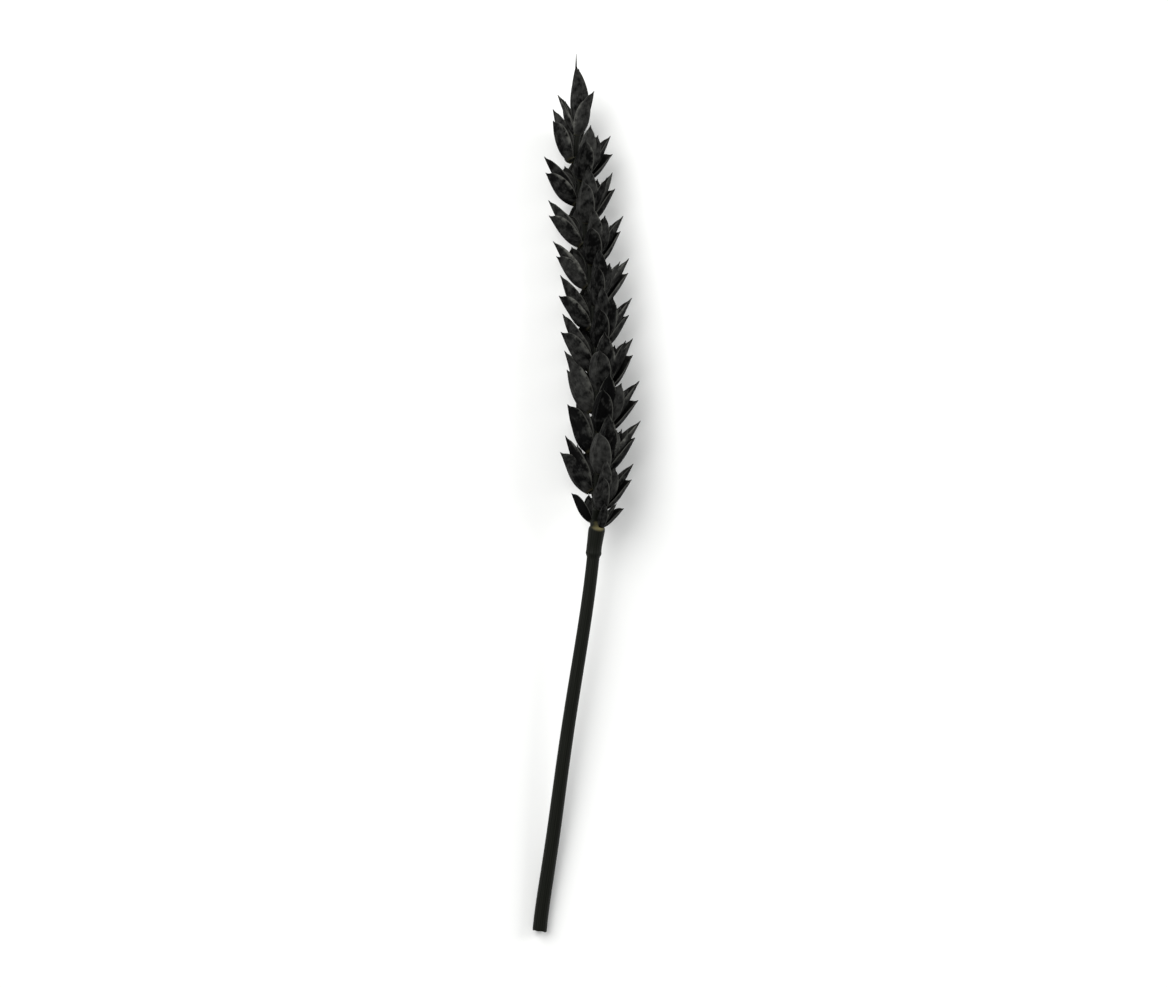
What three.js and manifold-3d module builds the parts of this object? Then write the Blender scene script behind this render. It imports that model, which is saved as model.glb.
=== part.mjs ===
// A dried and dyed wheat ear, cut with the upper part of its straw, lying on a surface.
// Millimetres, +Z up. The ear points along +Y. One of its two rows of spikelets lies low on the -X side
// and the other high on the +X side, so that the ear lies on a corner of its nearly square section.
// The origin is under the middle of the part, on the surface that it lies on.
import * as THREE from "three";
import { LoftGeometry } from "three/addons/geometries/LoftGeometry.js";
import { mergeVertices } from "three/addons/utils/BufferGeometryUtils.js";
import Module from "manifold-3d";

const wasm = await Module();
wasm.setup();

// Driving dimensions.
const STRAW_LENGTH = 80; // from the cut end to the foot of the lowest spikelet
const STRAW_RADIUS = 1.4; // at the cut end
const NECK_RADIUS = 1.22; // just under the collar
const COLLAR_RADIUS = 1.5; // the ring and the thicker stretch between it and the ear
const COLLAR_DISTANCE = 5.2; // from the ring to the lowest spikelet
const HOLLOW_RADIUS = 0.7; // the hole seen in the cut end
const HOLLOW_DEPTH = 12;
const RACHIS_LENGTH = 75.5; // the jointed axis inside the ear
const RACHIS_HALF_ROW = [0.72, 0.42]; // half its width across the rows, at its foot and at its tip
const RACHIS_HALF_UP = [1.3, 0.65]; // half its height
const ZIGZAG = 0.42; // how far the rachis swings to each spikelet's side
const SIDE_SPIKELETS = 20; // in two rows of ten, and one more at the tip
const CROWDING = 6.6; // how much the lowest joints of the rachis are shortened, all together
const CROWDED_JOINTS = 1.5; // how many joints that takes, or nearly
const SEAT_HALF = 0.4; // half the height of the seat that the rachis has for a spikelet
const SPIKELET_GAP = 0.35; // between a spikelet's foot and the rachis
const EAR_HEIGHT = 8; // of the axis over the surface, where the ear is thickest
const DYED_CHAFF = { color: 0x1b1b1a, roughness: 0.62, metalness: 0 };
const DYED_STRAW = { color: 0x2c2e28, roughness: 0.55, metalness: 0 };

const { clamp, degToRad, lerp, smoothstep } = THREE.MathUtils;

// The centreline of straw and rachis, as X, Y and Z, with the foot of the lowest spikelet at Y = 0.
// The straw leans out of line under the ear, and the ear's upper half bends back.
const CENTRELINE = new THREE.CatmullRomCurve3(
  [
    [-11.4, -STRAW_LENGTH, STRAW_RADIUS],
    [-8.6, -60, 2.8],
    [-5.7, -40, 4.6],
    [-2.8, -20, 6.3],
    [-0.6, -5, 7.5],
    [0, 10, EAR_HEIGHT],
    [0, 30, 7.7],
    [-1.5, 50, 6.75],
    [-3.5, 66, 6.6],
    [-3.9, RACHIS_LENGTH, 6.8],
  ].map((p) => new THREE.Vector3(...p)),
  false,
  "centripetal",
);
CENTRELINE.arcLengthDivisions = 800;
CENTRELINE.updateArcLengths();
const CURVE_LENGTH = CENTRELINE.getLength();
const FOOT = CURVE_LENGTH - RACHIS_LENGTH - 0.6; // where the lowest spikelet stands, from the cut end
const INTERNODE = (RACHIS_LENGTH + CROWDING) / SIDE_SPIKELETS;
const nodeDistance = (i) => FOOT + i * INTERNODE - CROWDING * (1 - Math.exp(-i / CROWDED_JOINTS));
const sideOf = (i) => (i % 2 ? -1 : 1);

// The same small natural difference each time, from -1 to 1, for piece number i and feature number k.
const vary = (i, k) => Math.sin(12.9898 * (i + 1) + 78.233 * (k + 1));

// The row on +X is turned up by about half a right angle. It winds back a little on the way up the ear.
const ROW_TURN = [-48, -40]; // degrees, at the ear's foot and at its tip
function rowTurn(distance) {
  return degToRad(lerp(...ROW_TURN, clamp((distance - FOOT) / RACHIS_LENGTH, 0, 1)));
}

// The frame of the stalk at a distance from the cut end: along the axis, across the rows and up.
function stalkFrame(distance) {
  const u = clamp(distance / CURVE_LENGTH, 0, 1);
  const point = CENTRELINE.getPointAt(u);
  const along = CENTRELINE.getTangentAt(u);
  const level = new THREE.Vector3().crossVectors(along, new THREE.Vector3(0, 0, 1)).normalize();
  const row = level.applyAxisAngle(along, rowTurn(distance));
  const up = new THREE.Vector3().crossVectors(row, along).normalize();
  return { point, along, row, up };
}

// The rachis runs in a zigzag: at each spikelet it has moved to that spikelet's side.
function zigzagAt(distance) {
  let i = 0;
  while (nodeDistance(i) < distance) i++;
  const below = i ? nodeDistance(i - 1) : FOOT - INTERNODE;
  const swing = smoothstep(distance, below, nodeDistance(i));
  return ZIGZAG * lerp(i ? sideOf(i - 1) : 0, sideOf(i), swing);
}

// One ring of the stalk: an ellipse, halfRow across the rows and halfUp high.
const STALK_SIDES = 10;
function ring(distance, halfRow, halfUp = halfRow) {
  const f = stalkFrame(distance);
  const shift = zigzagAt(distance);
  return Array.from({ length: STALK_SIDES }, (_, j) => {
    const a = (-2 * Math.PI * j) / STALK_SIDES;
    return f.point
      .clone()
      .addScaledVector(f.row, shift + halfRow * Math.cos(a))
      .addScaledVector(f.up, halfUp * Math.sin(a));
  });
}

// The hollow of the cut end, from its blind end, which is one point, out to the mouth.
function hollowRings() {
  return [ring(HOLLOW_DEPTH, 0), ring(HOLLOW_DEPTH - 1, HOLLOW_RADIUS), ring(0, HOLLOW_RADIUS)];
}

// The straw from the cut end up to its collar, and the thicker stretch above the collar.
const STRAW_STEPS = 16;
function strawRings() {
  const collar = FOOT - COLLAR_DISTANCE;
  const rings = [];
  for (let i = 0; i <= STRAW_STEPS; i++) {
    const t = i / STRAW_STEPS;
    rings.push(ring(t * (collar - 0.6), lerp(STRAW_RADIUS, NECK_RADIUS, t)));
  }
  rings.push(ring(collar, COLLAR_RADIUS));
  rings.push(ring(FOOT - 1.6, COLLAR_RADIUS - 0.15, COLLAR_RADIUS));
  return rings;
}

// The rachis: at each node a wide seat for the spikelet, and a narrow neck above it.
function rachisRings() {
  const rings = [];
  for (let i = 0; i < SIDE_SPIKELETS; i++) {
    const t = i / SIDE_SPIKELETS;
    const halfRow = lerp(...RACHIS_HALF_ROW, t);
    const halfUp = lerp(...RACHIS_HALF_UP, t);
    rings.push(ring(nodeDistance(i) - SEAT_HALF, halfRow, halfUp));
    rings.push(ring(nodeDistance(i) + SEAT_HALF, 0.7 * halfRow, 0.74 * halfUp));
  }
  rings.push(ring(FOOT + RACHIS_LENGTH, 0.4, 0.5));
  return rings;
}

// The straw, with the hollow in its cut end, its collar and the rachis: one grown stalk.
function stalk() {
  const made = new LoftGeometry([...hollowRings(), ...strawRings(), ...rachisRings()], { capEnd: true });
  const mesh = new THREE.Mesh(made, new THREE.MeshStandardMaterial(DYED_STRAW));
  mesh.name = "stalk";
  return mesh;
}

// A closed geometry as a manifold-3d solid.
function solidOf(geometry) {
  const bare = geometry.clone();
  bare.deleteAttribute("normal");
  bare.deleteAttribute("uv");
  const merged = mergeVertices(bare, 1e-4);
  return new wasm.Manifold(
    new wasm.Mesh({
      numProp: 3,
      vertProperties: merged.attributes.position.array,
      triVerts: new Uint32Array(merged.index.array),
    }),
  );
}

// A manifold-3d solid as a geometry.
function geometryOf(solid) {
  const mesh = solid.getMesh();
  const made = new THREE.BufferGeometry()
    .setAttribute("position", new THREE.BufferAttribute(new Float32Array(mesh.vertProperties), 3))
    .setIndex(new THREE.BufferAttribute(new Uint32Array(mesh.triVerts), 1));
  made.computeVertexNormals();
  return made;
}

// The outlines of the scales of chaff, as part of their half width and of their length: blunt at the
// foot and pointed at the tip. The last one in the ear ends in a short spike.
const SCALE_OUTLINE = [
  [0, 0],
  [0.52, 0.1],
  [0.97, 0.36],
  [0.86, 0.66],
  [0.34, 0.9],
  [0, 1],
];
const SPIKED_OUTLINE = [
  [0, 0],
  [0.52, 0.1],
  [0.97, 0.3],
  [0.7, 0.5],
  [0.2, 0.7],
  [0, 1],
];
const SCALE_SIDES = 8;

// A scale of chaff as a closed body that stands on +Y: halfAcross is its half size along X and
// halfDeep along Z, and spread is its lean to +X in degrees.
function scaleBody({ outline = SCALE_OUTLINE, length, halfAcross, halfDeep, spread, foot }) {
  return new THREE.LatheGeometry(outline.map((p) => new THREE.Vector2(...p)), SCALE_SIDES)
    .scale(halfAcross, length, halfDeep)
    .rotateZ(-degToRad(spread))
    .translate(...foot);
}

// A spikelet on its own: two glumes outside, two florets in them and one between, as a fan.
// It stands on +Y, its fan opens along X, and +Z is its back, which faces away from the rachis.
const MIDDLE_FLORET = { length: 9.2, halfAcross: 1.45, halfDeep: 1.4, foot: [0, 1.8, 0.45] };
const SPIKED_FLORET = {
  outline: SPIKED_OUTLINE,
  length: 17,
  halfAcross: 1.55,
  halfDeep: 1.5,
  spread: 0,
  foot: [0, 2, 0.2],
};
function spikeletGeometry(i, middle) {
  const open = 1 + 0.1 * vary(i, 1);
  const glume = (side) =>
    scaleBody({
      length: 8.9,
      halfAcross: 1.2,
      halfDeep: 2.0,
      spread: side * 26 * open,
      foot: [side * 0.78, 0, -0.15],
    });
  const floret = (side) =>
    scaleBody({
      length: 10.4,
      halfAcross: 1.4,
      halfDeep: 1.65,
      spread: side * (21 + side * vary(i, 2)) * open,
      foot: [side * 0.52, 0.5, 0.35],
    });
  const scales = [glume(-1), glume(1), floret(-1), floret(1), scaleBody(middle)];
  return geometryOf(scales.map(solidOf).reduce((whole, next) => whole.add(next)));
}

// How large a side spikelet is. The lowest ones are stunted and slim, and they get smaller again
// towards the tip.
const STUNTED = 0.7;
const SMALLEST_AT_TIP = 0.9;
function spikeletSize(i) {
  const grown = smoothstep(i, 0.2, 3.5);
  const t = i / (SIDE_SPIKELETS - 1);
  const size = lerp(1.02, SMALLEST_AT_TIP, smoothstep(t, 0.4, 1.05)) * (1 + 0.03 * vary(i, 3));
  const length = lerp(STUNTED, 1, grown) * size;
  const width = lerp(0.7 * STUNTED, 1, grown) * size;
  return new THREE.Vector3(width, length, width);
}

// How far a side spikelet leans out from the axis, in degrees. The lowest ones lean most.
function spikeletLean(i) {
  return 23 + 8 * Math.exp(-i / 1.2) + 1.5 * vary(i, 4);
}

// Puts a mesh where the stalk's frame says, +Y along the axis and +Z out to the row's side, and then
// leans it outwards and turns it a little.
function place(mesh, distance, side, lean, turn, out) {
  const f = stalkFrame(distance);
  const outward = f.row.clone().multiplyScalar(side);
  const across = new THREE.Vector3().crossVectors(f.along, outward);
  mesh.quaternion.setFromRotationMatrix(new THREE.Matrix4().makeBasis(across, f.along, outward));
  mesh.rotateX(degToRad(lean));
  mesh.rotateY(degToRad(turn));
  mesh.position.copy(f.point).addScaledVector(outward, out);
  return mesh;
}

function sideSpikelet(i) {
  const t = i / (SIDE_SPIKELETS - 1);
  const middle = { ...MIDDLE_FLORET, spread: 5 * sideOf(i) };
  const mesh = new THREE.Mesh(spikeletGeometry(i, middle), new THREE.MeshStandardMaterial(DYED_CHAFF));
  mesh.name = `spikelet_${String(i + 1).padStart(2, "0")}`;
  mesh.scale.copy(spikeletSize(i));
  const out = ZIGZAG + lerp(...RACHIS_HALF_ROW, t) + SPIKELET_GAP;
  return place(mesh, nodeDistance(i), sideOf(i), spikeletLean(i), 5 * vary(i, 5), out);
}

// The last spikelet stands upright on the end of the rachis, a quarter turn round from the others.
const END_SPIKELET_SIZE = 0.84;
function endSpikelet() {
  const i = SIDE_SPIKELETS;
  const mesh = new THREE.Mesh(spikeletGeometry(i, SPIKED_FLORET), new THREE.MeshStandardMaterial(DYED_CHAFF));
  mesh.name = "spikelet_at_tip";
  mesh.scale.setScalar(END_SPIKELET_SIZE);
  place(mesh, CURVE_LENGTH, 1, 0, 90, 0);
  mesh.position.addScaledVector(stalkFrame(CURVE_LENGTH).along, SPIKELET_GAP);
  return mesh;
}

const ear = new THREE.Group();
ear.add(stalk());
for (let i = 0; i < SIDE_SPIKELETS; i++) ear.add(sideSpikelet(i));
ear.add(endSpikelet());

// Rest it on the surface, with the origin under its middle.
const box = new THREE.Box3().setFromObject(ear, true);
const middle = box.getCenter(new THREE.Vector3());
ear.position.set(-middle.x, -middle.y, -box.min.z);
const part = new THREE.Group();
part.add(ear);

export default part;
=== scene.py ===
# %% [markdown]
# # A wheat ear, dried and dyed black
#
# An ear of bread wheat is a zigzag axis, the rachis, with a spikelet on every bend. A spikelet is a small
# fan of dry scales: two glumes outside, and inside them the florets, each in a lemma and a palea. The ear
# has been dried and dyed, so everything is near-black, and it lies on a pale table with its cut straw.
#
# A solid model of it comes first, with one plain solid for the stalk and one for each spikelet. It says
# where everything is and how large. This lesson grows the thin scales where those solids are.

# %% Load the solid model and note its size
import math

import bpy
import numpy as np
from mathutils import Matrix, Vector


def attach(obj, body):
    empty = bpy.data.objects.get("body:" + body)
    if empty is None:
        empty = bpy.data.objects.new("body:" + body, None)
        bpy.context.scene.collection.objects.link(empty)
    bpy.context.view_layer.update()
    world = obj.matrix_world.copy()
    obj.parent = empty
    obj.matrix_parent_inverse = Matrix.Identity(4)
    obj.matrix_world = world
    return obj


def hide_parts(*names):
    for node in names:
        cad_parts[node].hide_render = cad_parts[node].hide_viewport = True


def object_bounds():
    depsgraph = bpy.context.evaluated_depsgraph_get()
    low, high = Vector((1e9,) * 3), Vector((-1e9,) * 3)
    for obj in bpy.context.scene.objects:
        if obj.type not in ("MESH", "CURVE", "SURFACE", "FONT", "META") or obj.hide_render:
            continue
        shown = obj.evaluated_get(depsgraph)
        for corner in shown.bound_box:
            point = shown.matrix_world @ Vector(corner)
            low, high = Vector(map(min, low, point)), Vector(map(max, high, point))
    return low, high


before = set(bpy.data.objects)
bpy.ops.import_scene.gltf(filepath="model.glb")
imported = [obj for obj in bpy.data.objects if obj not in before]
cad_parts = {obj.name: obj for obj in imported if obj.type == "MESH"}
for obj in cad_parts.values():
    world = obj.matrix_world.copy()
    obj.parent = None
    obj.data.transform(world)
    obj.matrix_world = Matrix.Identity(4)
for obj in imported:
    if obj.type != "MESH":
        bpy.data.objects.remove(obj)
solid_low, solid_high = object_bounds()
MM = 0.001  # the lesson counts in millimetres and Blender in metres
size_mm = [(high - low) / MM for low, high in zip(solid_low, solid_high)]
print("solid model, mm:", [round(side, 1) for side in size_mm])

# %% [markdown]
# ## Camera, light and table
#
# A long thin thing that lies flat is seen whole from straight above. The lens is a long one, as for any
# product picture, so the ear's near and far scales keep their true sizes. The light is a white room with
# two large soft lamps: near-black chaff shows its shape by soft steps from scale to scale, and a small hard
# lamp would give specks and one sharp shadow instead.

# %% Camera
FRAME_WIDE, FRAME_HIGH = 1168, 988
LENS, SENSOR = 85, 36
MARGIN = 1.1
middle = (solid_low + solid_high) / 2
half_high = MARGIN * (solid_high.y - solid_low.y) / 2
distance = half_high * (2 * LENS / SENSOR) * (FRAME_WIDE / FRAME_HIGH)
camera_data = bpy.data.cameras.new("camera")
camera_data.lens, camera_data.sensor_width = LENS, SENSOR
camera = bpy.data.objects.new("camera", camera_data)
camera.location = (middle.x, middle.y, solid_high.z + distance)
bpy.context.scene.collection.objects.link(camera)
bpy.context.scene.camera = camera
print("camera is", round(distance / MM), "mm above the ear")


# %% Colour helper
def linear(code):
    """An sRGB hex colour as linear red, green, blue and alpha, by the sRGB standard's own curve."""
    srgb = np.array([int(code[i : i + 2], 16) for i in (1, 3, 5)]) / 255
    rgb = np.where(srgb <= 0.04045, srgb / 12.92, ((srgb + 0.055) / 1.055) ** 2.4)
    return (*rgb.tolist(), 1.0)


print("the middle grey #808080 is", round(linear("#808080")[0], 3), "in linear light")


# %% Node helper
def add(material, kind, sockets=None, **settings):
    """Adds one shader node. settings are the node's own choices. sockets gives each input, by name or
    number, a value or the output socket that feeds it."""
    made = material.node_tree.nodes.new(kind)
    for name, value in settings.items():
        setattr(made, name, value)
    for name, value in (sockets or {}).items():
        if isinstance(value, bpy.types.NodeSocket):
            material.node_tree.links.new(value, made.inputs[name])
        else:
            made.inputs[name].default_value = value
    return made


# %% Room light and lamps
def soft_lamp(name, place, size, watts):
    """A square area lamp, size wide in metres, that faces the middle of the ear."""
    data = bpy.data.lights.new(name, "AREA")
    data.size, data.energy = size, watts
    lamp = bpy.data.objects.new(name, data)
    lamp.location = place
    lamp.rotation_euler = (middle - lamp.location).to_track_quat("-Z", "Y").to_euler()
    bpy.context.scene.collection.objects.link(lamp)


ROOM_STRENGTH = 0.46
scene = bpy.context.scene
scene.view_settings.view_transform = "Standard"
scene.world = bpy.data.worlds.new("white_room")
scene.world.use_nodes = True
background = scene.world.node_tree.nodes["Background"]
background.inputs["Color"].default_value = linear("#f4f6f8")
background.inputs["Strength"].default_value = ROOM_STRENGTH
soft_lamp("key_lamp", (-0.35, 0.35, 0.55), 0.7, 6.4)
soft_lamp("edge_lamp", (0.55, 0.2, 0.3), 0.35, 2.2)

# %% Table
TABLE_HALF = 1.5
table_mesh = bpy.data.meshes.new("table")
corners = [(x * TABLE_HALF, y * TABLE_HALF, 0.0) for x, y in ((-1, -1), (1, -1), (1, 1), (-1, 1))]
table_mesh.from_pydata(corners, [], [(0, 1, 2, 3)])
table = bpy.data.objects.new("table", table_mesh)
scene.collection.objects.link(table)
paint = bpy.data.materials.new("matt_white_paint")
paint.use_nodes = True
paint_shader = paint.node_tree.nodes["Principled BSDF"]
paint_shader.inputs["Base Color"].default_value = linear("#f2f2f0")
paint_shader.inputs["Roughness"].default_value = 0.9
table_mesh.materials.append(paint)
print("table is", 2 * TABLE_HALF, "m wide, at height 0")

# %% [markdown]
# ## Where the stalk runs
#
# The new scales have to sit where the solid ones do, so the places are measured from the solids. The
# stalk's corners lie evenly round its axis, so a smooth curve fitted through all of them is the axis. A
# polynomial is enough for a line that bends gently, and it has no knots to choose.


# %% Measure the axis
def corners_of(node):
    """The corners of a solid, in millimetres, one row each."""
    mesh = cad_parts[node].data
    flat = np.empty(3 * len(mesh.vertices), np.float32)
    mesh.vertices.foreach_get("co", flat)
    return flat.reshape(-1, 3).astype(float) / MM


def unit(vectors):
    """The same directions with length one."""
    return vectors / np.linalg.norm(vectors, axis=-1, keepdims=True)


AXIS_DEGREE = 8
INTO_LAST_SPIKELET = 1.0  # the rachis ends inside the foot of the last spikelet
AXIS_POINTS = 1200
stalk_corners = corners_of("stalk")
cut_y, end_y = stalk_corners[:, 1].min(), stalk_corners[:, 1].max()
fit_x, fit_z = (
    np.polynomial.Polynomial.fit(stalk_corners[:, 1], stalk_corners[:, number], AXIS_DEGREE)
    for number in (0, 2)
)
axis_y = np.linspace(cut_y, end_y + INTO_LAST_SPIKELET, AXIS_POINTS)
axis = np.stack([fit_x(axis_y), axis_y, fit_z(axis_y)], -1)
axis_tangent = unit(np.gradient(axis, axis=0))
axis_s = np.concatenate([[0], np.cumsum(np.linalg.norm(np.diff(axis, axis=0), axis=1))])
print("stalk from", round(cut_y, 1), "to", round(end_y, 1), "mm, and", round(axis_s[-1], 1), "mm along it")


def on_axis(s, values=axis):
    """The axis point, or another value along the axis, at distance s from the cut end."""
    return np.stack([np.interp(s, axis_s, column) for column in values.T], -1)


# %% [markdown]
# ## Where each spikelet sits
#
# Every spikelet solid is long, wider in its fan than it is thick, so its three principal directions are
# its length, its fan and its back. They come from a singular value decomposition of its corners, which
# needs no matching of shapes. Their signs are settled by the axis: the length points up the ear, and the
# back points away from the rachis. The lowest two spikelets are stunted, and their solids are slimmer for
# their length than the middle one of all.

# %% Measure the spikelets
TIP_NODE = "spikelet_at_tip"
SIDE_NODES = sorted(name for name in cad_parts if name.startswith("spikelet_") and name != TIP_NODE)
SIDE_SOLID, TIP_SOLID = 11.0, 19.0  # how long a side spikelet's solid and the last one are at size 1
FOOT_SLICE = 0.6  # corners no higher than this in a solid are its foot
SEATED = 0.6  # the solids stand this far off the rachis, and the real feet are grown to it


def spikelet_place(node, solid_length):
    """A spikelet's foot and its three directions (fan, length, back), its size, 1 being solid_length, its
    width for its length, its distance from the cut end and the side of the rachis that it is on."""
    points = corners_of(node)
    centre = points.mean(0)
    length_way, fan_way, _ = np.linalg.svd(points - centre, full_matrices=False)[2]
    s = np.interp(centre[1], axis_y, axis_s)
    length_way = length_way * np.sign(length_way @ on_axis(s, axis_tangent))
    reach = (points - centre) @ length_way
    foot = points[reach < reach.min() + FOOT_SLICE].mean(0) - SEATED * length_way
    back_way = np.cross(fan_way, length_way)
    outwards = centre - on_axis(s)
    if back_way @ outwards < 0:
        fan_way, back_way = -fan_way, -back_way
    return {
        "foot": foot,
        "ways": np.stack([fan_way, length_way, back_way]),
        "size": np.ptp(reach) / solid_length,
        "slim": np.ptp((points - centre) @ fan_way) / np.ptp(reach),
        "s": float(np.interp(foot[1], axis_y, axis_s)),
        "side": float(np.sign(outwards[0])),
    }


places = [spikelet_place(node, SIDE_SOLID) for node in SIDE_NODES]
tip_place = {**spikelet_place(TIP_NODE, TIP_SOLID), "slim": 1.0}
usual_slimness = np.median([place["slim"] for place in places])
for place in places:
    place["slim"] = min(1.0, place["slim"] / usual_slimness)
for place in (places[0], places[len(places) // 2], tip_place):
    print("foot", place["foot"].round(1), "size", round(place["size"], 2), "along", place["ways"][1].round(2))

# %% [markdown]
# ## One dry scale
#
# A glume or a lemma is a boat of stiff paper: rounded at the foot, widest below its middle, folded along a
# keel, ribbed by nerves that run together at the tip, and ended by a short beak. It could be sculpted or
# subdivided from a box, but a formula gives a hundred different ones. The shape is a function of two
# numbers, u across from -1 to 1 and v along from 0 to 1, worked out for a whole grid at once.

# %% The grid
ROWS, COLUMNS = 34, 29
ALONG = np.linspace(0, 1, ROWS)[:, None]
spaced = np.linspace(-1, 1, COLUMNS)[None, :]
EVEN = 0.72  # 1 would space the columns evenly, and less brings them closer at the keel
ACROSS = EVEN * spaced + (1 - EVEN) * spaced**3
print("a scale has", ROWS * COLUMNS, "corners on each face")


# %% The scale's outline
BLUNT = 0.52  # how fast the outline opens at the foot: a half is round, and 1 would be a point
FOOT_WIDTH, FOOT_HEIGHT = 0.42, 0.3  # the foot's own width, by the widest, fades out this far up
TIP_EDGE, TIP_WIDEST = 0.03, 0.6  # half the width of the very tip, and the most that the point may have


def half_outline(length, half_width, sharp, point, spike):
    """Half the width of a scale at each row, from foot to tip. It is half_width times
    (v/p)^a ((1-v)/(1-p))^b, where a = BLUNT, b = sharp and the widest place is p = a/(a+b), and v runs over
    all but the last part, spike. The point is a triangle, half as wide as point times the distance to the
    tip. Cubes are added for a smooth change from the foot to the body and from the body to the point."""
    widest = BLUNT / (BLUNT + sharp)
    v = np.clip(ALONG / (1 - spike), 0, 1)
    body = half_width * (v / widest) ** BLUNT * ((1 - v) / (1 - widest)) ** sharp
    triangle = TIP_EDGE + np.minimum(point * length * (1 - ALONG), TIP_WIDEST)
    foot = FOOT_WIDTH * half_width * np.clip(1 - ALONG / FOOT_HEIGHT, 0, 1)
    return (body**3 + triangle**3 + foot**3) ** (1 / 3)


# %% The scale's surface
NERVES = 7  # ribs across a scale
KEEL_WIDTH = 0.09
FLATTENED = 0.42  # how much of the wrap is gone at the tip


def scale_surface(
    length, half_width, wrap, bulge, fold, sharp=0.6, point=0.34, spike=0.05, keel=0.14, nerve=0.045,
    skew=0.0, curl=0.0, wave=0.0,
):
    """The outer surface of a scale, foot at the origin, tip on +Y, back to +Z.
    Section: an arc that turns down by wrap degrees to each side, folded down from the keel by fold.
    Back: bulge sin(pi v^0.8) + curl v^3, a bow and then a bend at the tip. skew leans the middle sideways.
    On that stand the keel exp(-(u/w)^2), the nerves cos(pi n u) and a slow crumple of height wave."""
    half = half_outline(length, half_width, sharp, point, spike)
    turn = np.radians(wrap) * (1 - FLATTENED * ALONG**2)
    radius = half / np.sin(np.minimum(turn, np.pi / 2))
    angle = ACROSS * turn
    swell = np.sin(np.pi * ALONG)
    x = radius * np.sin(angle) + skew * half_width * swell
    drop = radius * (1 - np.cos(angle)) + fold * half * np.abs(ACROSS) * ALONG
    back = bulge * np.sin(np.pi * ALONG**0.8) + curl * ALONG**3
    ridge = keel * np.exp(-((ACROSS / KEEL_WIDTH) ** 2)) * np.clip(3 * ALONG, 0, 1)
    ribs = nerve * np.cos(np.pi * NERVES * ACROSS) * swell**0.5 * (1 - ACROSS**4)
    crumple = wave * np.sin(7 * ALONG + 2.5 * ACROSS + 9 * wave) * swell
    y = length * ALONG + 0 * ACROSS
    return np.stack([x, y, back - drop + ridge + ribs + crumple], -1)


plain_scale = scale_surface(length=10, half_width=2, wrap=90, bulge=1, fold=0)
print("a plain scale is", np.ptp(plain_scale, axis=(0, 1)).round(1), "mm across, along and deep")


# %% [markdown]
# ## From a surface to a thin wall
#
# The scale is paper 0.1 to 0.2 mm thick that thins out to its margins. A Solidify modifier gives
# one thickness everywhere, so the inner face is worked out here: each point moves inwards along its own
# normal. The two faces and the strip round their edge make one closed wall.


# %% Faces of a grid
def grid_faces(rows, columns, round_about=False):
    """Four corner numbers for each face between neighbours in a grid. round_about joins the last column
    to the first."""
    row = np.arange(rows - 1)[:, None] * columns
    column = np.arange(columns if round_about else columns - 1)[None, :]
    beside = (column + 1) % columns
    faces = np.stack([row + column, row + beside, row + beside + columns, row + column + columns], -1)
    return faces.reshape(-1, 4)


def edge_round(rows, columns):
    """The corner numbers on the edge of a grid, once round."""
    numbers = np.arange(rows * columns).reshape(rows, columns)
    return np.concatenate([numbers[0, :-1], numbers[:-1, -1], numbers[-1, :0:-1], numbers[:0:-1, 0]])


WALL_FACES = grid_faces(ROWS, COLUMNS)
EDGE = edge_round(ROWS, COLUMNS)
NEXT = np.roll(EDGE, -1)
COUNT = ROWS * COLUMNS
RIM_FACES = np.stack([EDGE, EDGE + COUNT, NEXT + COUNT, NEXT], -1)
SCALE_FACES = np.concatenate([WALL_FACES, WALL_FACES[:, ::-1] + COUNT, RIM_FACES])
print("a scale has", len(SCALE_FACES), "faces,", len(RIM_FACES), "of them round its rim")


# %% The wall
def scale_wall(surface, thickness, tone, pale):
    """A closed thin wall behind a surface, thinner to its margins. With it goes what its finish needs at
    each corner: how near the margin, how far up, which face, a tone and a paleness of its own, and the
    place on the scale laid flat, in millimetres."""
    normal = unit(np.cross(np.gradient(surface, axis=1), np.gradient(surface, axis=0)))
    width = np.linalg.norm(surface[:, -1] - surface[:, 0], axis=-1)[:, None]
    depth = np.minimum(thickness * (1 - 0.7 * ACROSS**4), 0.2 * width + 0.02)
    inner = surface - normal * depth[..., None]
    margin = np.abs(ACROSS) + 0 * ALONG
    height = ALONG + 0 * ACROSS
    across_mm = np.cumsum(np.linalg.norm(np.diff(surface, axis=1, prepend=surface[:, :1]), axis=-1), axis=1)
    flat = np.stack([across_mm - across_mm[:, COLUMNS // 2, None], surface[..., 1]], -1)
    return {
        "points": np.concatenate([surface.reshape(-1, 3), inner.reshape(-1, 3)]),
        "faces": SCALE_FACES,
        "margin": np.tile(margin.ravel(), 2),
        "height": np.tile(height.ravel(), 2),
        "inside": np.repeat([0.0, 1.0], COUNT),
        "tone": np.full(2 * COUNT, tone),
        "pale": np.full(2 * COUNT, pale),
        "flat": np.tile(flat.reshape(-1, 2), (2, 1)),
    }


def stood(wall, foot, length_way, back_way):
    """The wall stood on foot with its length and its back in the given directions."""
    y = unit(np.asarray(length_way, float))
    x = unit(np.cross(y, back_way))
    return {**wall, "points": foot + wall["points"] @ np.stack([x, y, np.cross(x, y)])}


def joined(walls):
    """Several walls as one, with the face numbers moved on."""
    starts = np.cumsum([0] + [len(w["points"]) for w in walls[:-1]])
    whole = {key: np.concatenate([w[key] for w in walls]) for key in walls[0] if key != "faces"}
    return {**whole, "faces": np.concatenate([w["faces"] + start for w, start in zip(walls, starts)])}


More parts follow.
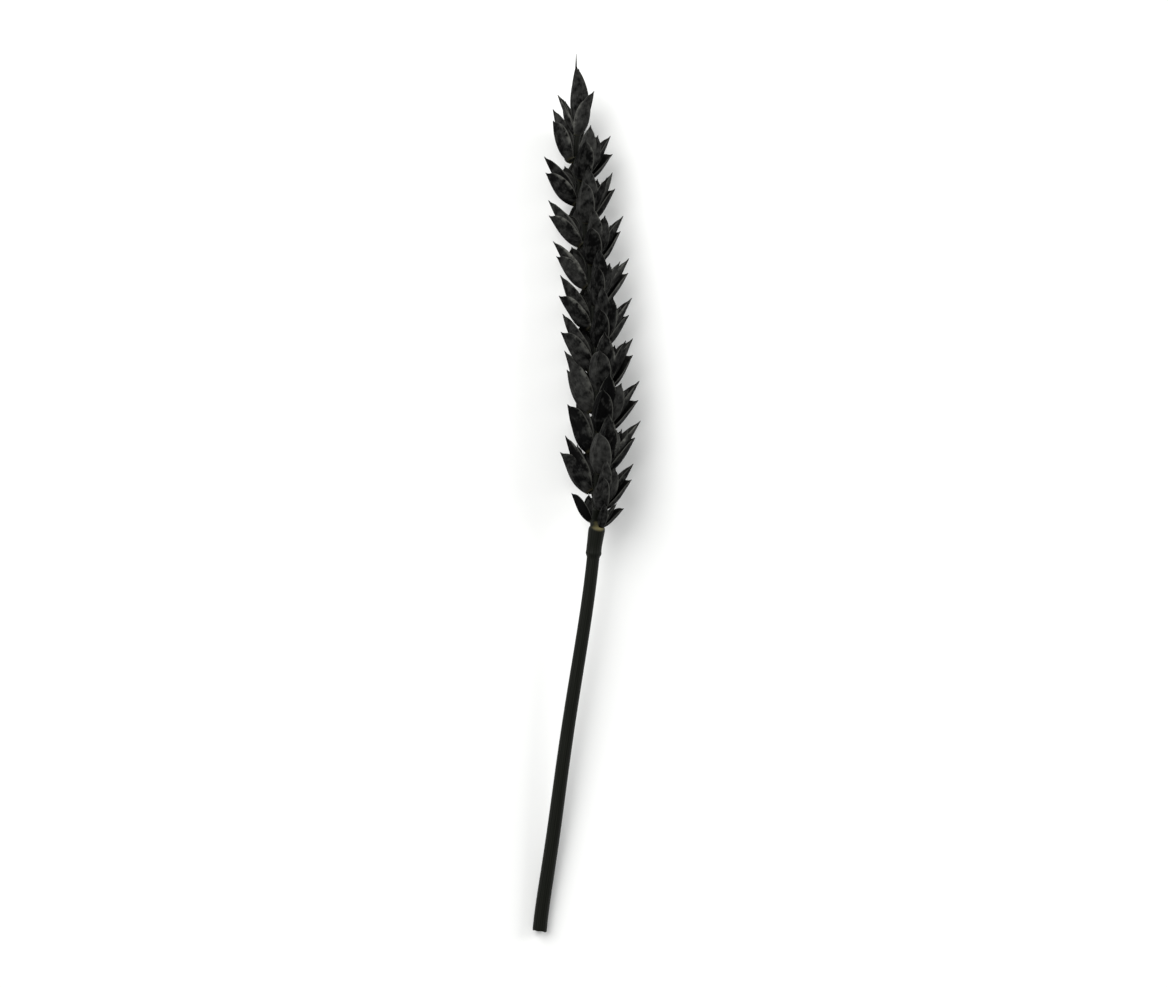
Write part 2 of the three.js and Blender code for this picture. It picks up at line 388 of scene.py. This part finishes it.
# %% [markdown]
# ## Making the mesh
#
# Whole arrays go into the mesh with foreach_set, which takes no loop over corners. The finish's own
# numbers go in as attributes, and the flat place of each corner as a UV map in millimetres, so that a
# pattern on a scale keeps its real size and runs up the scale wherever it points.


# %% Mesh from arrays
SHARP_FROM = 62  # degrees: the rim of a scale stays crisp, and its ribs stay soft


def make_piece(name, shape, material, slot, *nodes):
    """A finished piece from a shape's points, faces and numbers. It stands for the solid nodes, takes its
    finish from material, and rides on the only body. slot is not used."""
    mesh = bpy.data.meshes.new(name)
    faces = shape["faces"].astype(np.int32)
    mesh.vertices.add(len(shape["points"]))
    mesh.vertices.foreach_set("co", (shape["points"] * MM).astype(np.float32).ravel())
    mesh.loops.add(faces.size)
    mesh.loops.foreach_set("vertex_index", faces.ravel())
    mesh.polygons.add(len(faces))
    mesh.polygons.foreach_set("loop_start", np.arange(0, faces.size, 4, dtype=np.int32))
    mesh.update(calc_edges=True)
    mesh.shade_smooth()
    mesh.set_sharp_from_angle(angle=math.radians(SHARP_FROM))
    uv = mesh.uv_layers.new(name="flat_mm")
    uv.data.foreach_set("uv", shape["flat"][faces.ravel()].astype(np.float32).ravel())
    for key in set(shape) - {"points", "faces", "flat"}:
        mesh.attributes.new(key, "FLOAT", "POINT").data.foreach_set("value", shape[key].astype(np.float32))
    mesh.materials.append(material)
    piece = bpy.data.objects.new(name, mesh)
    scene.collection.objects.link(piece)
    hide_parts(*nodes)
    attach(piece, "root")
    return piece


# %% [markdown]
# ## Dyed chaff
#
# Chaff is a dry papery husk of cellulose with some silica in its skin. Dyed black it is matte, and the dye
# is uneven: blotched on the faces, thin at the margins, which stay grey, and thinner still at the foot,
# where some straw colour shows. The grey margins are also a painted highlight: they are lighter than the
# dye alone makes them, where a sheen along the edges would catch the light. Cellulose has an IOR near 1.5,
# but a rough dusty skin mirrors far less of the room than a smooth one, so the specular level is very low
# and the colour does nearly all the work.

# %% Chaff and the numbers that its corners carry
chaff = bpy.data.materials.new("dyed_papery_chaff")
chaff.use_nodes = True
chaff_shader = chaff.node_tree.nodes["Principled BSDF"]
chaff_shader.inputs["IOR"].default_value = 1.5
chaff_shader.inputs["Specular IOR Level"].default_value = 0.03
margin, height, inside, tone, pale = (
    add(chaff, "ShaderNodeAttribute", attribute_name=key).outputs["Fac"]
    for key in ("margin", "height", "inside", "tone", "pale")
)
flat_mm = add(chaff, "ShaderNodeUVMap", uv_map="flat_mm").outputs["UV"]
print("chaff reads five numbers and a place at each corner")

# %% Fibres and blotches
# Fibres are streaks 0.12 mm apart that run up the scale, eight times as long as they are wide.
stretched = add(chaff, "ShaderNodeMapping", {"Vector": flat_mm, "Scale": (8.0, 1.0, 1.0)}).outputs[0]
fibre_noise = add(chaff, "ShaderNodeTexNoise", {"Vector": stretched, "Scale": 1.0, "Detail": 3.0})
fibres = fibre_noise.outputs["Fac"]
# Blotches are about 1.5 mm across. Each scale has its own place in the noise, set by its tone.
tone_shift = add(chaff, "ShaderNodeCombineXYZ", {"Z": tone}).outputs[0]
far_apart = add(chaff, "ShaderNodeVectorMath", {0: tone_shift, 3: 60.0}, operation="SCALE").outputs[0]
own_place = add(chaff, "ShaderNodeVectorMath", {0: flat_mm, 1: far_apart}, operation="ADD").outputs[0]
blotch = add(
    chaff, "ShaderNodeTexNoise", {"Vector": own_place, "Scale": 0.7, "Detail": 4.0, "Roughness": 0.62}
).outputs["Fac"]
patchy = add(chaff, "ShaderNodeMath", {0: blotch, 1: 2.6, 2: tone}, operation="MULTIPLY_ADD").outputs[0]
streaky = add(chaff, "ShaderNodeMath", {0: fibres, 1: 0.9, 2: patchy}, operation="MULTIPLY_ADD").outputs[0]
thin_dye = add(
    chaff, "ShaderNodeMapRange", {"Value": streaky, "From Min": 1.45, "From Max": 2.75}
).outputs[0]
dyed = add(
    chaff, "ShaderNodeMix", {0: thin_dye, 6: linear("#040404"), 7: linear("#3d3d3b")}, data_type="RGBA"
).outputs[2]
print("deep dye to thin dye:", [round(linear(code)[0], 4) for code in ("#040404", "#3d3d3b")])

# %% Margins with their painted highlight, foot and inner face
# The margins are grey at the very edge of every scale, and in patches over a wider strip on some. The grey is
# partly the thin margins' own colour and partly a painted highlight along the edges.
near_margin = add(
    chaff,
    "ShaderNodeMapRange",
    {"Value": margin, "From Min": 0.68, "From Max": 0.95},
    interpolation_type="SMOOTHSTEP",
).outputs[0]
patches = add(chaff, "ShaderNodeMapRange", {"Value": blotch, "From Min": 0.42, "From Max": 0.6}).outputs[0]
patchy_margin = add(chaff, "ShaderNodeMath", {0: near_margin, 1: patches}, operation="MULTIPLY").outputs[0]
pale_strip_and_highlight = add(chaff, "ShaderNodeMath", {0: patchy_margin, 1: pale}, operation="MULTIPLY").outputs[0]
at_edge = add(
    chaff, "ShaderNodeMapRange", {"Value": margin, "From Min": 0.9, "From Max": 1.0, "To Max": 0.6}
).outputs[0]
margin_and_highlight_share = add(chaff, "ShaderNodeMath", {0: pale_strip_and_highlight, 1: at_edge}, operation="MAXIMUM").outputs[0]
# Margin grey #60605b: partly the margins' own colour, partly a painted highlight where the edges would catch
# the light.
with_margin_and_highlight = add(
    chaff, "ShaderNodeMix", {0: margin_and_highlight_share, 6: dyed, 7: linear("#60605b")}, data_type="RGBA"
).outputs[2]
# The lowest twentieth took less dye.
near_foot = add(
    chaff, "ShaderNodeMapRange", {"Value": height, "From Min": 0.05, "From Max": 0.0, "To Max": 0.35}
).outputs[0]
with_foot = add(
    chaff, "ShaderNodeMix", {0: near_foot, 6: with_margin_and_highlight, 7: linear("#4f4a34")}, data_type="RGBA"
).outputs[2]
# The inner face is evener than the outer one.
inner_share = add(chaff, "ShaderNodeMath", {0: inside, 1: 0.4}, operation="MULTIPLY").outputs[0]
coloured = add(
    chaff, "ShaderNodeMix", {0: inner_share, 6: with_foot, 7: linear("#242422")}, data_type="RGBA"
).outputs[2]
chaff.node_tree.links.new(coloured, chaff_shader.inputs["Base Color"])
rough = add(chaff, "ShaderNodeMapRange", {"Value": fibres, "To Min": 0.5, "To Max": 0.72}).outputs[0]
chaff.node_tree.links.new(rough, chaff_shader.inputs["Roughness"])
bump = add(chaff, "ShaderNodeBump", {"Height": fibres, "Strength": 0.5, "Distance": 0.04 * MM}).outputs[0]
chaff.node_tree.links.new(bump, chaff_shader.inputs["Normal"])
print("chaff has", len(chaff.node_tree.nodes), "nodes")

# %% [markdown]
# ## One spikelet
#
# The two glumes stand at the foot, back to back across the fan, and lean outwards. Each floret stands a
# little higher on the spikelet's own short axis than the one before, on the other side of it, and its lemma
# and its palea face each other round the space for the grain. Lists of sizes keep the fan readable, and a
# seeded random generator makes each spikelet a little different, always in the same way.


# %% Directions in the fan
def fan_direction(spread, lean):
    """The direction of a scale that leans spread degrees along the fan and lean degrees to the back."""
    return np.array([math.tan(math.radians(spread)), 1.0, math.tan(math.radians(lean))])


def back_direction(side, turn):
    """The way that a scale's back faces: to its side of the fan, and turn degrees to the spikelet's back."""
    return np.array([side * math.cos(math.radians(turn)), 0.0, math.sin(math.radians(turn))])


def about(rng, usual, scatter):
    """One natural size or angle: the usual one, give or take scatter, by the normal distribution."""
    return usual + scatter * rng.normal()


print("a scale that spreads by 20 degrees points along", fan_direction(20, 0).round(2))


# %% Glumes
GLUME_WALL = 0.2  # thickness at the keel


def glume(side, rng):
    """One outer scale, on one side, 1 or -1, of the fan."""
    surface = scale_surface(
        length=about(rng, 9.3, 0.3),
        half_width=about(rng, 2.25, 0.08),
        wrap=82,
        bulge=1.25,
        fold=0.4,
        skew=0.05 * side,
        curl=about(rng, 0.45, 0.25),
        wave=about(rng, 0, 0.08),
    )
    wall = scale_wall(surface, GLUME_WALL, tone=about(rng, -0.1, 0.22), pale=rng.random() ** 2)
    foot = np.array([0.55 * side, -0.1, 0.0])
    lengthways = fan_direction(side * about(rng, 24, 2), about(rng, 4, 2.5))
    return stood(wall, foot, lengthways, back_direction(side, about(rng, 14, 6)))


glume_deep = np.ptp(glume(1, np.random.default_rng(1))["points"], axis=0)
print("a glume takes up", glume_deep.round(1), "mm across the fan, along the spikelet and to its back")

# %% Florets
# side of the fan, height of the foot, length, half width, spread, lean to the back, turn of the back
FLORETS = [
    (1, 0.7, 11.2, 2.0, 18, -4, 24),
    (-1, 1.1, 11.0, 2.0, 18, -4, 24),
    (1, 2.1, 8.2, 1.8, 6, -2, 38),
    (-1, 3.0, 6.2, 1.5, 5, -3, 48),
]
STUNTED_FLORETS = [(1, 0.7, 7.6, 1.8, 8, -5, 24)]
LEMMA_WALL, PALEA_WALL = 0.17, 0.1
PALEA_SHARE = 0.8  # a palea's length and width, by its lemma's
GRAIN_ROOM = 0.5  # between a lemma's foot and its palea's
PALEA_PALER = 0.4  # how much more tone a palea has than its lemma


def floret(row, flip, rng, spike=0.05, point=0.38):
    """A lemma and its palea. flip, 1 or -1, says which side of the fan the first floret is on."""
    side, up, length, half_width, spread, lean, turn = row
    side = side * flip
    length = about(rng, length, 0.3)
    foot = np.array([0.45 * side * (1 - up / 6), up, 0.2 + 0.12 * up])
    lengthways = fan_direction(side * about(rng, spread, 1.2), about(rng, lean, 1.5))
    back = back_direction(side, about(rng, turn, 5))
    lemma = scale_surface(
        length=length,
        half_width=half_width,
        wrap=92,
        bulge=0.9,
        fold=0.25,
        sharp=0.72,
        point=point,
        spike=spike + 0.03 * rng.random(),
        keel=0.08,
        curl=about(rng, 0.4, 0.3),
        wave=about(rng, 0, 0.06),
    )
    palea = scale_surface(
        length=PALEA_SHARE * length,
        half_width=PALEA_SHARE * half_width,
        wrap=60,
        bulge=0.3,
        fold=0.0,
        keel=0,
        nerve=0.02,
    )
    tone = about(rng, 0, 0.22)
    pale = rng.random() ** 2
    lemma_wall = scale_wall(lemma, LEMMA_WALL, tone, pale)
    palea_wall = scale_wall(palea, PALEA_WALL, tone + PALEA_PALER, pale)
    return [
        stood(lemma_wall, foot, lengthways, back),
        stood(palea_wall, foot - GRAIN_ROOM * back, lengthways, -back),
    ]


print("a full-grown spikelet has", len(FLORETS), "florets and a stunted one has", len(STUNTED_FLORETS))

# %% [markdown]
# ## Twenty spikelets and one at the tip
#
# Each spikelet is made at its own small origin and then moved: its points are multiplied by its size and by
# the three directions that were measured from its solid. The glumes are one piece and the florets another,
# because on the real ear the florets can be rubbed out while the glumes stay.
#
# Some scales of the low row would reach through the table. Real ones bend and lie on it, so their lowest
# points are eased up by a curve that never reaches zero.


# %% Planting a spikelet
LYING = 0.8  # chaff lower than this over the table bends along it


def planted(shape, place):
    """A spikelet's shape moved from its own origin to its place on the ear. A stunted one is slim too.
    With t = LYING, a height z that is under t becomes t exp((z - t) / t)."""
    sizes = place["size"] * np.array([place["slim"], 1.0, place["slim"]])
    points = place["foot"] + (sizes * shape["points"]) @ place["ways"]
    z = points[:, 2]
    points[:, 2] = np.where(z < LYING, LYING * np.exp((z - LYING) / LYING), z)
    return {**shape, "points": points}


print("a point at the table's height is lifted by", round(LYING / math.e, 2), "mm")

# %% Grow the side spikelets
CHAFF_SLOT = "dyed_chaff"
FIRST_SEED, TIP_SEED = 401, 500
STUNTED_SLIMNESS = 0.9  # a spikelet no wider for its length than this, by the usual one, is stunted

for number, (node, place) in enumerate(zip(SIDE_NODES, places), start=1):
    rng = np.random.default_rng(FIRST_SEED - 1 + number)
    glumes = joined([glume(side, rng) for side in (1, -1)])
    flip = 1 if number % 4 < 2 else -1  # in each row the first floret's side changes from one to the next
    rows = FLORETS if place["slim"] > STUNTED_SLIMNESS else STUNTED_FLORETS
    florets = joined([wall for row in rows for wall in floret(row, flip, rng)])
    make_piece(f"glumes_{number:02d}", planted(glumes, place), chaff, CHAFF_SLOT, node)
    make_piece(f"florets_{number:02d}", planted(florets, place), chaff, CHAFF_SLOT, node)
print("side spikelets:", len(SIDE_NODES), "and a full one has", len(florets["faces"]), "faces of florets")

# %% Grow the last spikelet
# The same seven numbers as in FLORETS. The third floret's lemma ends in a long thin spike.
TIP_SIDE_FLORETS = [(1, 0.7, 10.6, 1.6, 24, 0, 10), (-1, 1.1, 10.4, 1.6, 24, 0, 10)]
TIP_MIDDLE_FLORET = (1, 2.6, 16.2, 2.3, 0.5, 0, 84)
rng = np.random.default_rng(TIP_SEED)
tip_glumes = joined([glume(side, rng) for side in (1, -1)])
side_walls = [wall for row in TIP_SIDE_FLORETS for wall in floret(row, 1, rng)]
tip_florets = joined(side_walls + floret(TIP_MIDDLE_FLORET, 1, rng, spike=0.18, point=0.07))
make_piece("glumes_at_tip", planted(tip_glumes, tip_place), chaff, CHAFF_SLOT, TIP_NODE)
make_piece("florets_at_tip", planted(tip_florets, tip_place), chaff, CHAFF_SLOT, TIP_NODE)
print("the last spikelet has", len(TIP_SIDE_FLORETS) + 1, "florets")

# %% [markdown]
# ## Dyed straw
#
# Straw has a waxy skin over fine ribs, so it is a satin, smoother than the chaff: roughness near 0.45. The
# dye makes it a dark olive grey that is lighter along the ribs. It is thinner where the ear begins, and it
# never reached the inside that the cut shows.

# %% Straw material
straw = bpy.data.materials.new("dyed_satin_straw")
straw.use_nodes = True
straw_shader = straw.node_tree.nodes["Principled BSDF"]
straw_shader.inputs["IOR"].default_value = 1.5
straw_shader.inputs["Specular IOR Level"].default_value = 0.08
bare = add(straw, "ShaderNodeAttribute", attribute_name="bare").outputs["Fac"]
rib = add(straw, "ShaderNodeAttribute", attribute_name="rib").outputs["Fac"]
straw_mm = add(straw, "ShaderNodeUVMap", uv_map="flat_mm").outputs["UV"]
# Streaks are 0.2 mm apart and 8 mm long.
drawn_out = add(straw, "ShaderNodeMapping", {"Vector": straw_mm, "Scale": (5.0, 0.12, 1.0)}).outputs[0]
streaks = add(straw, "ShaderNodeTexNoise", {"Vector": drawn_out, "Scale": 1.0, "Detail": 4.0}).outputs["Fac"]
lighter = add(straw, "ShaderNodeMath", {0: streaks, 1: rib}, operation="MULTIPLY").outputs[0]
ribbed = add(
    straw, "ShaderNodeMix", {0: lighter, 6: linear("#060705"), 7: linear("#24261f")}, data_type="RGBA"
).outputs[2]
# Where the straw is bare, its own colour shows in patches about 4 mm across.
cloud = add(straw, "ShaderNodeTexNoise", {"Vector": straw_mm, "Scale": 0.25, "Detail": 2.0}).outputs["Fac"]
missed = add(straw, "ShaderNodeMath", {0: bare, 1: cloud}, operation="MULTIPLY").outputs[0]
missed_share = add(
    straw, "ShaderNodeMapRange", {"Value": missed, "From Min": 0.2, "From Max": 0.6}
).outputs[0]
straw_colour = add(
    straw, "ShaderNodeMix", {0: missed_share, 6: ribbed, 7: linear("#857c55")}, data_type="RGBA"
).outputs[2]
straw.node_tree.links.new(straw_colour, straw_shader.inputs["Base Color"])
straw_rough = add(straw, "ShaderNodeMapRange", {"Value": streaks, "To Min": 0.36, "To Max": 0.56}).outputs[0]
straw.node_tree.links.new(straw_rough, straw_shader.inputs["Roughness"])
straw_bump = add(straw, "ShaderNodeBump", {"Height": streaks, "Strength": 0.4, "Distance": 0.05 * MM})
straw.node_tree.links.new(straw_bump.outputs[0], straw_shader.inputs["Normal"])
print("straw has", len(straw.node_tree.nodes), "nodes")

# %% [markdown]
# ## The stalk
#
# The straw and the rachis are one stem, so they are one surface: a ring carried along the axis. It starts
# at the blind end of the hollow, comes out to the cut, turns over the rim and runs up the outside to the
# tip. Where the ear begins, the ring flattens and steps from side to side, once for each spikelet.

# %% Sizes of the stalk
node_s = np.array([place["s"] for place in places])
node_side = np.array([place["side"] for place in places])
foot_s, tip_s = node_s[0], axis_s[-1]
internode = float(np.diff(node_s).mean())
collar_s = foot_s - 5.2
HOLLOW, HOLLOW_DEPTH = 0.75, 12.0
CUT_RADIUS, NECK_RADIUS = 1.4, 1.22
# How much thicker the straw gets at its collar, at the ring on that, and from there up to the ear.
COLLAR_STEP, COLLAR_RING, COLLAR_SWELL = 0.26, 0.07, 0.15
RACHIS_ACROSS = (0.85, 0.5)  # half the rachis's width across the rows, at its foot and at its tip
RACHIS_UP = (1.3, 0.7)  # and the other way
NECK_SHARE = 0.68  # how wide a joint is at its lower end, by its upper end
ZIGZAG = 0.42
print("internodes of", round(internode, 2), "mm from", round(foot_s, 1), "mm above the cut")


# %% Half sizes along the stalk
def smooth(x, low, high):
    """0 below low, 1 above high and a smooth step between."""
    t = np.clip((x - low) / (high - low), 0, 1)
    return t * t * (3 - 2 * t)


def joints_up(s):
    """How many joints of the rachis there are below distances s, with the fraction of the one there."""
    return np.interp(s, np.append(node_s, tip_s), np.arange(len(node_s) + 1.0))


def straw_radius(s):
    """The straw tapers up to its collar, steps out there over a low ring and swells on up to the ear."""
    taper = np.interp(s, [0, collar_s], [CUT_RADIUS, NECK_RADIUS])
    step = COLLAR_STEP * smooth(s, collar_s - 0.9, collar_s + 0.2)
    ring = COLLAR_RING * np.exp(-(((s - collar_s) / 0.4) ** 2))
    return taper + step + ring + COLLAR_SWELL * smooth(s, collar_s + 1, foot_s)


def stalk_half_sizes(s):
    """Half the stalk's size across the rows and up, at distances s. The straw is round. In the ear the
    rachis is flat and gets smaller, and each joint widens like a wedge to the seat of the next spikelet."""
    up_the_ear = np.clip((s - foot_s) / (tip_s - foot_s), 0, 1)
    in_joint = joints_up(s) % 1
    wedge = NECK_SHARE + (1 - NECK_SHARE) * np.maximum(in_joint**1.6, 1 - smooth(in_joint, 0.0, 0.16))
    in_ear = smooth(s, foot_s - 0.6, foot_s + 1.2)
    return [
        (1 - in_ear) * straw_radius(s) + in_ear * wedge * (at_foot + (at_tip - at_foot) * up_the_ear)
        for at_foot, at_tip in (RACHIS_ACROSS, RACHIS_UP)
    ]


def zigzag(s):
    """How far the axis swings to the side of the nearest spikelets, at distances s."""
    swing = np.interp(s, np.concatenate([[foot_s - internode], node_s]), np.concatenate([[0.0], node_side]))
    return ZIGZAG * swing


print("radius at the cut, neck and collar:", straw_radius(np.array([0, collar_s - 1, collar_s])).round(2))

# %% Rings of the stalk
RING = 96  # corners round the stalk
STRAW_RINGS, EAR_STEP = 90, 0.2
around = 2 * np.pi * np.arange(RING) / RING - np.pi / 2  # the seam is underneath
hollow_s = np.array([HOLLOW_DEPTH, HOLLOW_DEPTH - 0.4, 8.0, 4.0, 1.0, 0.12])
hollow_radius = np.array([0.02, 0.6, 0.7, HOLLOW, HOLLOW, HOLLOW + 0.03])
straw_s = np.concatenate([[0.0, 0.1, 0.3], np.linspace(0.8, foot_s - 7, STRAW_RINGS)])
ear_s = np.concatenate([np.arange(foot_s - 6.8, tip_s, EAR_STEP), [tip_s - 0.05, tip_s]])
outer_s = np.concatenate([straw_s, ear_s])
rounding = np.ones_like(outer_s)
rounding[:2] = 0.93, 0.985  # the rim of the cut
rounding[-2:] = 0.6, 0.03  # the end in the last spikelet
ring_s = np.concatenate([hollow_s, outer_s])
ring_across, ring_up = (
    np.concatenate([hollow_radius, half * rounding])[:, None] for half in stalk_half_sizes(outer_s)
)
is_outer = np.concatenate([np.zeros(len(hollow_s)), np.ones(len(outer_s))])[:, None]
print("stalk has", len(ring_s), "rings, and", len(hollow_s), "of them are in the hollow")

# %% Ribs
RIBS, RIB_HEIGHT = 22, 0.028
rng = np.random.default_rng(77)
rib_strength = rng.uniform(0.3, 1.0, RIBS)[(np.arange(RING) * RIBS // RING)]
rib_wave = np.cos(RIBS * (around + np.pi / 2)) * rib_strength
in_straw = 1 - smooth(ring_s, foot_s - 4, foot_s)[:, None]
rib_height = RIB_HEIGHT * rib_wave[None, :] * is_outer * (0.25 + 0.75 * in_straw)
print("ribs stand up to", round(RIB_HEIGHT * rib_strength.max(), 3), "mm high")

# %% The stalk's surface
# row points to the +X side's row of spikelets at each ring, and rise is square to it and to the axis.
way = on_axis(ring_s, axis_tangent)
level = unit(np.cross(way, [0.0, 0.0, 1.0]))
row_way = np.array([place["ways"][2] * place["side"] for place in places])
tilt = np.interp(ring_s, node_s, np.arcsin(np.clip((unit(row_way * [1, 0, 1]))[:, 2], -1, 1)))[:, None]
row = level * np.cos(tilt) + np.cross(level, way) * np.sin(tilt)
rise = np.cross(row, way)
row_part = (ring_across + rib_height) * np.cos(around) + zigzag(ring_s)[:, None]
rise_part = (ring_up + rib_height) * np.sin(around)
centres = on_axis(ring_s)
stalk_points = centres[:, None] + row_part[..., None] * row[:, None] + rise_part[..., None] * rise[:, None]
# The blade went through at a slant.
cut_slope = 0.25 * np.sin(around + 0.6) + 0.05 * np.sin(5 * around)
near_cut = np.exp(-((ring_s / 1.5) ** 2))[:, None] * cut_slope
stalk_points = stalk_points + near_cut[..., None] * way[:, None]
print("stalk's lowest point is", stalk_points[..., 2].min().round(2), "mm over the table")

# %% Numbers for the straw's finish
# The straw is bare at the cut, a little at the spikelets' seats and in one patch where the ear begins.
to_seat = np.abs(ring_s[:, None] - node_s[None, :]).min(1)
at_seats = smooth(ring_s, foot_s - 1.5, foot_s) * np.exp(-((to_seat / 0.6) ** 2))
at_ear_foot = np.exp(-(((ring_s - foot_s) / 1.3) ** 2))[:, None]
patch_side = (0.5 + 0.5 * np.cos(around - 0.3)) ** 2
at_cut = np.exp(-((ring_s / 0.1) ** 2))
bareness = (0.2 * at_seats + 0.6 * at_cut)[:, None] + 0.42 * at_ear_foot * patch_side
flat_round = np.tile(CUT_RADIUS * (around + np.pi / 2), len(ring_s))
flat_along = np.repeat(ring_s * (2 * is_outer[:, 0] - 1), RING)  # the hollow runs on below the cut
stalk_shape = {
    "points": stalk_points.reshape(-1, 3),
    "faces": grid_faces(len(ring_s), RING, round_about=True),
    "bare": bareness.ravel(),
    "rib": np.tile(0.5 + 0.5 * rib_wave, len(ring_s)),
    "flat": np.stack([flat_round, flat_along], -1),
}
stalk = make_piece("straw_and_rachis", stalk_shape, straw, "dyed_straw", "stalk")
print("stalk has", len(stalk.data.polygons), "faces")
